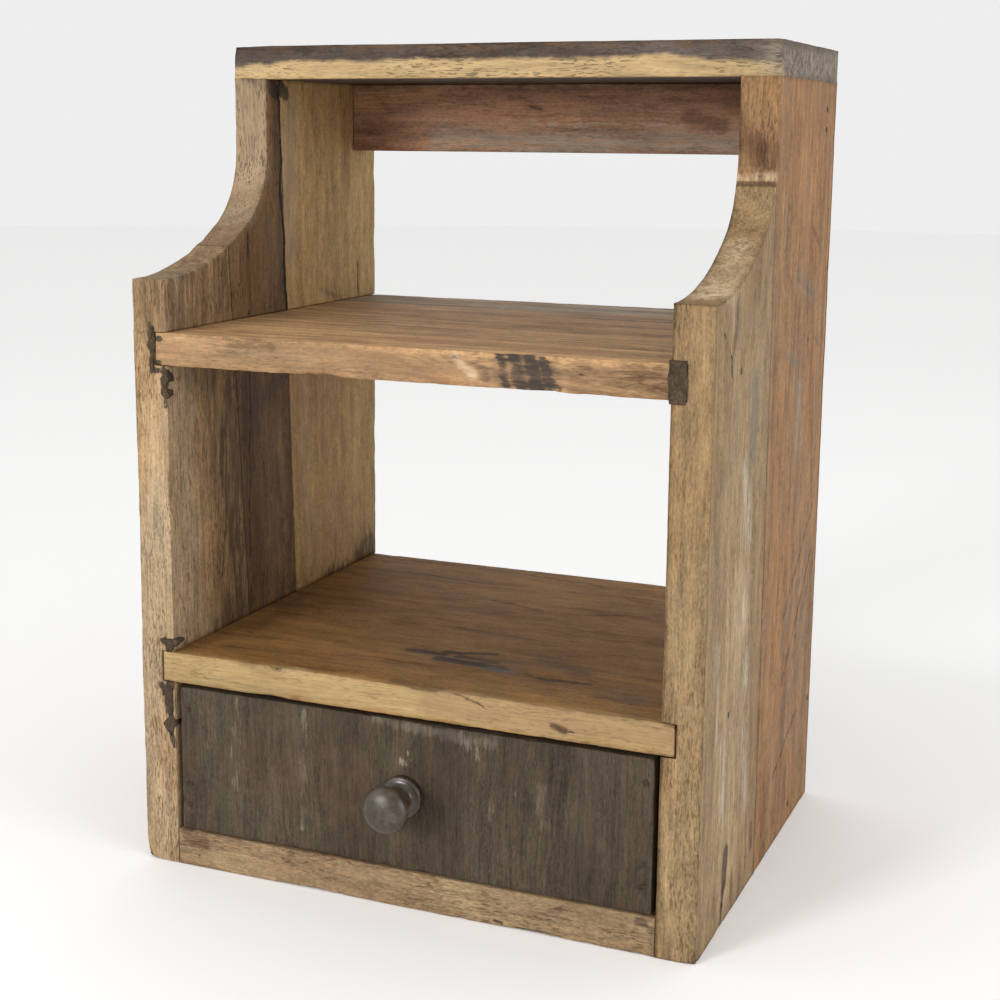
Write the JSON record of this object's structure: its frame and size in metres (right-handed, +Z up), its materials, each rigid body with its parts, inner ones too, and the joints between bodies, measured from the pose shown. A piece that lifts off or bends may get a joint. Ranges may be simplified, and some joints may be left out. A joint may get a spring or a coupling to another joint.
{
  "type": "open shelf cabinet with drawer",
  "caption": "Small rustic reclaimed-wood cabinet with open bays above a sliding drawer, coved sides, a shallower top and a back rail.",
  "frame": {"origin": "centre of the carcass's underside, on the bottom board", "axes": "+Z up, the drawer and knob face -Y, +X is to the right of someone facing the front"},
  "size_m": [0.38, 0.3313, 0.538],
  "materials": {
    "pale_side_wood": "worn, unvarnished, fine open grain",
    "brown_side_wood": "worn, unvarnished, dark streaks",
    "warm_side_wood": "worn, unvarnished, saw marks",
    "top_wood": "aged dark face over pale sapwood",
    "rail_wood": "weathered, greyed",
    "upper_shelf_wood": "worn, waxed thinly",
    "lower_shelf_wood": "worn, waxed thinly",
    "bottom_wood": "sawn, unvarnished",
    "dark_drawer_wood": "old dark stain, rubbed",
    "drawer_box_wood": "plain, planed",
    "knob_wood": "turned, dark, satin",
    "dark_filler": "matt filler, trimmed roughly",
    "nail_steel": "dull, oxidised"
  },
  "bodies": {
    "carcass": {"top_board": "top_wood", "back_rail": "rail_wood", "upper_shelf": "upper_shelf_wood", "lower_shelf": "lower_shelf_wood", "bottom_board": "bottom_wood", "drawer_bay_back": "drawer_box_wood", "left_side_front_plank": "pale_side_wood", "left_side_middle_plank": "brown_side_wood", "left_side_rear_plank": "pale_side_wood", "right_side_front_plank": "pale_side_wood", "right_side_rear_plank": "warm_side_wood", "housing_plug_upper_right": "dark_filler", "housing_filler_upper_left": "dark_filler", "edge_filler_upper_left": "dark_filler", "chip_filler_lower_left": "dark_filler", "edge_filler_lower_left": "dark_filler", "upper_shelf_nail_left_1": "nail_steel", "upper_shelf_nail_left_2": "nail_steel", "upper_shelf_nail_right_1": "nail_steel", "upper_shelf_nail_right_2": "nail_steel", "lower_shelf_nail_left_1": "nail_steel", "lower_shelf_nail_left_2": "nail_steel", "lower_shelf_nail_right_1": "nail_steel", "lower_shelf_nail_right_2": "nail_steel", "bottom_board_nail_left_1": "nail_steel", "bottom_board_nail_left_2": "nail_steel", "bottom_board_nail_right_1": "nail_steel", "bottom_board_nail_right_2": "nail_steel", "rail_nail_left_1": "nail_steel", "rail_nail_left_2": "nail_steel", "rail_nail_right_1": "nail_steel", "rail_nail_right_2": "nail_steel", "bay_back_nail_left_1": "nail_steel", "bay_back_nail_right_1": "nail_steel", "top_nail_left_1": "nail_steel", "top_nail_left_2": "nail_steel", "top_nail_right_1": "nail_steel", "top_nail_right_2": "nail_steel"},
    "drawer": {"drawer_front": "dark_drawer_wood", "drawer_left_wall": "drawer_box_wood", "drawer_right_wall": "drawer_box_wood", "drawer_back": "drawer_box_wood", "drawer_panel": "drawer_box_wood", "drawer_knob": "knob_wood", "knob_screw": "nail_steel", "drawer_front_nail_left_1": "nail_steel", "drawer_front_nail_left_2": "nail_steel", "drawer_front_nail_left_3": "nail_steel", "drawer_front_nail_right_1": "nail_steel", "drawer_front_nail_right_2": "nail_steel", "drawer_front_nail_right_3": "nail_steel", "drawer_back_nail_left_1": "nail_steel", "drawer_back_nail_left_2": "nail_steel", "drawer_back_nail_right_1": "nail_steel", "drawer_back_nail_right_2": "nail_steel"}
  },
  "joints": [
    {"name": "drawer_slide", "type": "slide", "parent": "carcass", "child": "drawer", "axis": [0, -1, 0], "range_m": [0, 0.2]}
  ]
}
